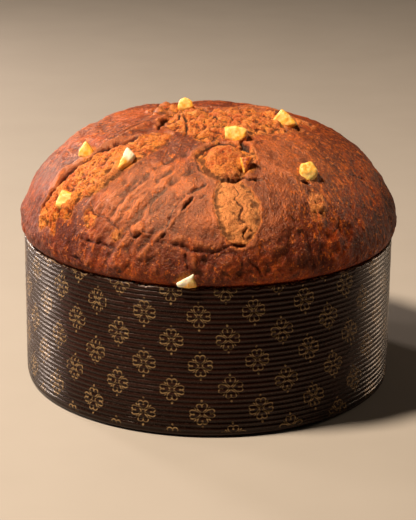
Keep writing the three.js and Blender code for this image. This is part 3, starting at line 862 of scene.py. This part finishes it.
def paper_material():
    """Dark brown fluted paper with a soft sheen, printed with tan gold motifs in a half-drop repeat."""
    s = Shader("paper")
    place = s.place()
    sheet = s.node("ShaderNodeSeparateXYZ")
    s.link(s.node("ShaderNodeUVMap", uv_map="sheet").outputs["UV"], sheet.inputs["Vector"])
    wobble = s.times(s.minus(s.noise(place, 2.2, 2), 0.5), 0.2)
    across = s.plus(s.times(sheet.outputs["X"], 1 / MM), wobble)
    up = s.plus(s.times(sheet.outputs["Y"], 1 / MM), wobble)

    column = s.math("DIVIDE", s.minus(across, MOTIF_START[0]), MOTIF_ACROSS)
    nearest_column = s.math("ROUND", column)
    aside = s.times(s.minus(column, nearest_column), MOTIF_ACROSS)
    drop = s.times(s.math("PINGPONG", nearest_column, 1.0), 0.5)
    row = s.minus(s.math("DIVIDE", s.minus(up, MOTIF_START[1]), MOTIF_UP), drop)
    above = s.times(s.minus(row, s.math("ROUND", row)), MOTIF_UP * MOTIF_SQUEEZE)
    distance = motif_distance(s, aside, above)

    crest = s.value("crest")
    fibre = s.noise(s.place((1.0, 1.0, 3.0)), 1.2, 4, 0.7)
    printed = s.range(distance, STROKE + 0.1, STROKE - 0.1)
    worn = s.range(s.plus(s.times(fibre, 0.9), s.times(crest, 0.35)), 0.38, 0.62, 0.45, 1.0)
    ink = s.times(s.times(printed, worn), s.value("outside"))

    dark = s.mix(s.range(s.noise(place, 30, 3), 0.35, 0.65), colour(32, 13, 8), colour(40, 17, 11))
    # Painted shade, darker toward the foot of the case
    dark = s.mix(s.range(up, 26.0, 4.0, 0.0, 0.8), dark, colour(20, 8, 4))
    # Painted shade in the flutes' grooves
    dark = s.mix(s.range(crest, 0.0, -0.9), dark, colour(16, 6, 3))
    dark = s.tint(dark, s.range(fibre, 0.45, 0.75), 0.5, 56, 28, 18)
    # The cut rim is lighter, partly the paper's raw edge and partly painted glints
    dark = s.tint(dark, s.value("cut"), s.range(s.noise(place, 1.8, 3), 0.4, 0.6), 176, 148, 122)
    s.set("Base Color", s.mix(ink, dark, colour(132, 106, 72)))
    s.set("Metallic", s.times(ink, 0.12))
    s.set("Roughness", s.range(fibre, 0.3, 0.7, 0.16, 0.3))
    s.set("Specular IOR Level", 0.26)
    s.set("Specular Tint", (1.0, 0.82, 0.72, 1.0))
    s.set("Normal", s.bump(fibre, 0.1))
    return s.material


def case_section():
    """Rows of the case's half section from the underside's middle, up the flutes, over the rim and down inside."""
    rows = [(0.0, 0.0, 0.0), (0.5 * CASE_RADIUS, 0.0, 0.0), (0.85 * CASE_RADIUS, 0.0, 0.0)]
    for step in range(5):
        angle = step * math.pi / 8
        inset = FOOT_RADIUS * (1 - math.sin(angle)) + FLUTE_DEPTH * 0.5
        rows.append((CASE_RADIUS - inset, FOOT_RADIUS * (1 - math.cos(angle)), 0.0))
    for step in range(FLUTE_ROWS, FLUTES * FLUTE_ROWS + 1):
        height = step * PITCH / FLUTE_ROWS
        rows.append((CASE_RADIUS - 0.5 * FLUTE_DEPTH, height, 1.0))
    inner = CASE_RADIUS - FLUTE_DEPTH - LINING
    rows.append((inner + 0.15, CASE_HEIGHT + 0.05, 0.0))
    for height in (CASE_HEIGHT - 0.5, CASE_HEIGHT - 6, 0.5 * CASE_HEIGHT, PAPER_WALL):
        rows.append((inner, height, 0.0))
    rows.append((0.5 * inner, PAPER_WALL, 0.0))
    rows.append((0.0, PAPER_WALL, 0.0))
    return np.array(rows)


def make_case():
    """The case: fluted outside, smooth inside, a little out of round, its rim cut unevenly."""
    section = case_section()
    turn = 2 * math.pi * np.arange(CASE_COLUMNS) / CASE_COLUMNS
    ring = section[1:-1]
    radius, height, fluted = (np.repeat(column[:, None], CASE_COLUMNS, 1) for column in ring.T)
    angle = np.repeat(turn[None, :], len(ring), 0)
    points = np.column_stack([(radius * np.sin(angle)).ravel(), (-radius * np.cos(angle)).ravel(), height.ravel()])

    paper_noise = Noise(41)
    sway = 0.28 * paper_noise.at(points * (1, 1, 0.3), 22).reshape(radius.shape)
    uneven = 1 + 0.25 * paper_noise.at(points * (1, 1, 3), 9).reshape(radius.shape)
    wave = 2 * np.abs(np.sin(math.pi * height / PITCH + 0.25 * sway)) ** 0.7 - 1
    soft = 0.16 * paper_noise.at(points, 34) + 0.07 * paper_noise.at(points, 8)
    relief = 0.5 * FLUTE_DEPTH * np.minimum(uneven, 1.15) * wave
    radius = radius + fluted * (relief + 0.7 * soft.reshape(radius.shape) - 0.12)
    near_rim = smoothstep(height, CASE_HEIGHT - RIM_BAND, CASE_HEIGHT)
    jag = paper_noise.layered(points * (1, 1, 0), 6, 2) + paper_noise.at(points * (1, 1, 0), 1.9)
    height = height + near_rim * (0.6 * jag.reshape(radius.shape) - 0.3)
    points = np.column_stack([(radius * np.sin(angle)).ravel(), (-radius * np.cos(angle)).ravel(), height.ravel()])

    count = len(ring)
    points = np.vstack([points, [[0, 0, 0]], [[0, 0, PAPER_WALL]]])
    column = np.arange(CASE_COLUMNS)
    after = np.roll(column, -1)
    row = CASE_COLUMNS * np.arange(count - 1)[:, None]
    corners = (row + column, row + after, row + CASE_COLUMNS + after, row + CASE_COLUMNS + column)
    faces = np.column_stack([corner.ravel() for corner in corners]).tolist()
    under, floor = count * CASE_COLUMNS, count * CASE_COLUMNS + 1
    faces += [[under, b, a] for a, b in zip(column.tolist(), after.tolist())]
    last = (count - 1) * CASE_COLUMNS
    faces += [[last + a, last + b, floor] for a, b in zip(column.tolist(), after.tolist())]

    outside = np.where(ring[:, 2] > 0, 1.0, 0.0)
    rim_row = np.where(ring[:, 2] > 0)[0][-1]
    # Rows at the cut rim, lightened in the colour: the paper's raw edge with painted glints
    cut = np.zeros(count)
    cut[rim_row:rim_row + 2] = (0.6, 1.0)
    # crest is the flutes' relief, with which the colour darkens the grooves as painted shade
    values = {"crest": (wave * fluted).ravel(), "outside": np.repeat(outside, CASE_COLUMNS),
              "cut": np.repeat(cut, CASE_COLUMNS)}
    values = {key: np.append(value, [0, 0]) for key, value in values.items()}
    piece = make_object("case", points, faces, paper_material(), values)
    lay_sheet(piece)
    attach(piece, "root")
    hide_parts("paper_case")


def lay_sheet(piece):
    """Unrolls the case's outside onto a flat sheet in metres, its seam at the back, for the print.

    The sheet was wrapped a little askew: its print slips round and climbs toward both sides.
    """
    mesh = piece.data
    layer = mesh.uv_layers.new(name="sheet")
    corners = read(mesh.loops, "vertex_index", int)
    points = read(mesh.vertices, "co", each=3).reshape(-1, 3)[corners] / MM
    angle = np.arctan2(points[:, 0], -points[:, 1])
    starts = read(mesh.polygons, "loop_start", int)
    first = np.repeat(angle[starts], read(mesh.polygons, "loop_total", int))
    angle = angle - 2 * math.pi * np.round((angle - first) / (2 * math.pi))
    across = angle * PRINT_RADIUS
    side = np.clip(across, -95, 90)
    fade = 1 - smoothstep(np.abs(across), 110, 190)
    high = points[:, 2] - 40
    slipped = 0.8 + 0.055 * np.maximum(0, -side - 40) - 0.0019 * (side + 25) * high * fade
    lifted = 0.08 * np.maximum(0, side + 4) + 0.045 * np.maximum(0, -side - 30)
    lifted += (0.02 + 0.0008 * np.abs(side)) * high * fade
    flat = np.column_stack([across - slipped, points[:, 2] - lifted]) * MM
    layer.data.foreach_set("uv", flat.ravel().astype(np.float32))


# The peel: its fineness, its rounds of smoothing, its swelling and roughening after them, and the point it faces from
PEEL_GRAIN = 0.38
PEEL_ROUNDS = 5
PEEL_SWELL = 0.25
PEEL_RELIEF = 0.34
PEEL_UP_FROM = (0, 0, 40.0)

# Peel that differs, coated in crust or pale, the pale faces partly sugar and partly painted highlight on faces turned
# up to the lights: direction across the piece, and where along it the look starts and is full
PEEL_LOOKS = {
    "coated": {"peel_08": ((0.95, 0.0, 0.3), -1.6, -0.8), "peel_02": ((0.6, -0.4, -0.7), 3.0, 3.8)},
    "pale": {"peel_09": ((-0.7, 0.0, 0.7), -0.8, 0.6), "peel_05": ((0.5, 0.0, 0.8), 0.5, 2.5)},
}
NO_LOOK = ((0, 0, 1), 100, 101)

peel_noise = Noise(53)


def peel_material():
    """Candied peel: translucent, cream where cut, golden at its edges, orange where sunk in, brown where coated; the
    golden edges and orange underside are partly painted shade.
    """
    s = Shader("candied_peel")
    place = s.place()
    pulp = s.noise(place, 2.6, 4, 0.65)
    flesh = s.mix(s.range(pulp, 0.38, 0.62), colour(250, 174, 56), colour(255, 212, 124))
    # Golden edges and orange where sunk into the bread, partly the peel's own colour and partly painted shade on faces
    # away from the light
    flesh = s.tint(flesh, s.value("rim"), 0.6, 246, 164, 40)
    flesh = s.tint(flesh, s.value("sunk"), 0.9, 244, 140, 4)
    # Pale cream faces, partly sugar and partly painted highlight
    flesh = s.mix(s.value("pale"), flesh, colour(253, 236, 206))
    coat = s.mix(s.range(s.noise(place, 1.6, 4, 0.7), 0.4, 0.6), colour(150, 62, 20), colour(226, 132, 56))
    flesh = s.mix(s.value("coated"), flesh, coat)
    s.set("Base Color", flesh)
    s.set("Roughness", s.range(s.noise(place, 1.0, 3), 0.3, 0.7, 0.22, 0.45))
    s.set("Subsurface Weight", 0.5)
    s.set("Subsurface Radius", (1.0, 0.62, 0.2))
    s.set("Subsurface Scale", 1.4 * MM)
    s.set("Normal", s.bump(s.noise(place, 0.9, 4, 0.7), 0.22))
    return s.material


def remeshed(node):
    """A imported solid's surface, evenly and finely divided, as points in millimetres and faces."""
    copy = in_scene(bpy.data.objects.new("remeshing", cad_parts[node].data.copy()))
    copy.matrix_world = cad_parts[node].matrix_world
    cut = copy.modifiers.new("remesh", "REMESH")
    cut.mode = "VOXEL"
    cut.voxel_size = PEEL_GRAIN * MM
    made = copy.evaluated_get(bpy.context.evaluated_depsgraph_get()).to_mesh()
    points = read(made.vertices, "co", each=3).reshape(-1, 3) / MM
    faces = [tuple(face.vertices) for face in made.polygons]
    bpy.data.objects.remove(copy)
    return points, faces


def make_peel(node, material):
    """A piece of peel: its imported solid, finely divided, its edges softened and its faces left a little rough."""
    points, faces = remeshed(node)
    ends = np.array([(a, b) for face in faces for a, b in zip(face, face[1:] + face[:1])])

    def average(vectors, rounds):
        return np.column_stack([averaged(values, ends, rounds) for values in vectors.T])

    sharp = points
    points = average(sharp, PEEL_ROUNDS)
    rim = smoothstep(np.linalg.norm(average(sharp - points, 2), axis=1), 0.05, 0.3)
    middle = points.mean(axis=0)
    away = points - middle
    points = middle + away * (1 + PEEL_SWELL / np.linalg.norm(away, axis=1))[:, None]
    away /= np.linalg.norm(away, axis=1)[:, None]
    points = points + away * (PEEL_RELIEF * peel_noise.layered(points, 3.4, 3))[:, None]

    away = points - middle
    up = middle - PEEL_UP_FROM
    lift = away @ (up / np.linalg.norm(up))
    # sunk: the side turned in toward the bread, coloured orange, partly the peel's own colour and partly painted shade
    values = {"rim": rim, "sunk": smoothstep(lift, 0.15 * lift.max(), 0.75 * lift.min())}
    for value, looks in PEEL_LOOKS.items():
        direction, start, end = looks.get(node, NO_LOOK)
        values[value] = smoothstep(away @ np.array(direction), start, end)
    piece = make_object(f"candied_{node}", points, faces, material, values)
    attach(piece, "root")
    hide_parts(node)


def make_all_peel():
    material = peel_material()
    for node in sorted(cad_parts):
        if node.startswith("peel_"):
            make_peel(node, material)


def make_camera():
    """The camera, at the photograph's height and distance."""
    data = bpy.data.cameras.new("camera")
    data.sensor_width = CAMERA_SENSOR
    data.lens = CAMERA_LENS
    data.clip_start, data.clip_end = 0.05, 10
    camera = in_scene(bpy.data.objects.new("camera", data))
    lift = math.radians(CAMERA_ELEVATION)
    distance = CAMERA_DISTANCE * MM
    camera.location = (0, -distance * math.cos(lift), CAMERA_AIM * MM + distance * math.sin(lift))
    upright = Matrix.Rotation(math.pi / 2 - lift, 4, "X")
    camera.rotation_mode = "QUATERNION"
    camera.rotation_quaternion = (upright @ Matrix.Rotation(math.radians(CAMERA_ROLL), 4, "Z")).to_quaternion()
    bpy.context.scene.camera = camera


def make_light(name, turn, lift, size, power, tint):
    """A round soft light, placed by degrees round from the front and above the horizon."""
    turn, lift = math.radians(turn), math.radians(lift)
    away = Vector((math.cos(lift) * math.sin(turn), -math.cos(lift) * math.cos(turn), math.sin(lift)))
    data = bpy.data.lights.new(name, "AREA")
    data.shape = "DISK"
    data.size = size
    data.energy = power
    data.color = tint
    light = in_scene(bpy.data.objects.new(name, data))
    light.location = Vector(LIGHT_AIM) + LIGHT_DISTANCE * away
    light.rotation_mode = "QUATERNION"
    light.rotation_quaternion = away.to_track_quat("Z", "Y")


def make_studio():
    """A plain pale floor, a warm key from the left above, two low lights behind it at the left, and a weak fill."""
    shader = Shader("floor")
    grain = shader.noise(shader.place(), 60, 3)
    shader.set("Base Color", shader.mix(grain, colour(160, 151, 141), colour(168, 159, 149)))
    shader.set("Roughness", 0.9)
    bpy.ops.mesh.primitive_plane_add(size=FLOOR_SIZE, location=(0, 0, -FLOOR_DROP))
    floor = bpy.context.object
    floor.name = "floor"
    floor.data.materials.append(shader.material)

    world = bpy.data.worlds.new("studio")
    world.use_nodes = True
    sky = world.node_tree.nodes["Background"]
    sky.inputs["Color"].default_value = colour(236, 226, 214)
    sky.inputs["Strength"].default_value = SKY_STRENGTH
    bpy.context.scene.world = world

    for name, settings in LIGHTS.items():
        make_light(name, *settings)
    bpy.context.scene.view_settings.view_transform = "Standard"


make_camera()
make_studio()
make_bread()
make_case()
make_all_peel()
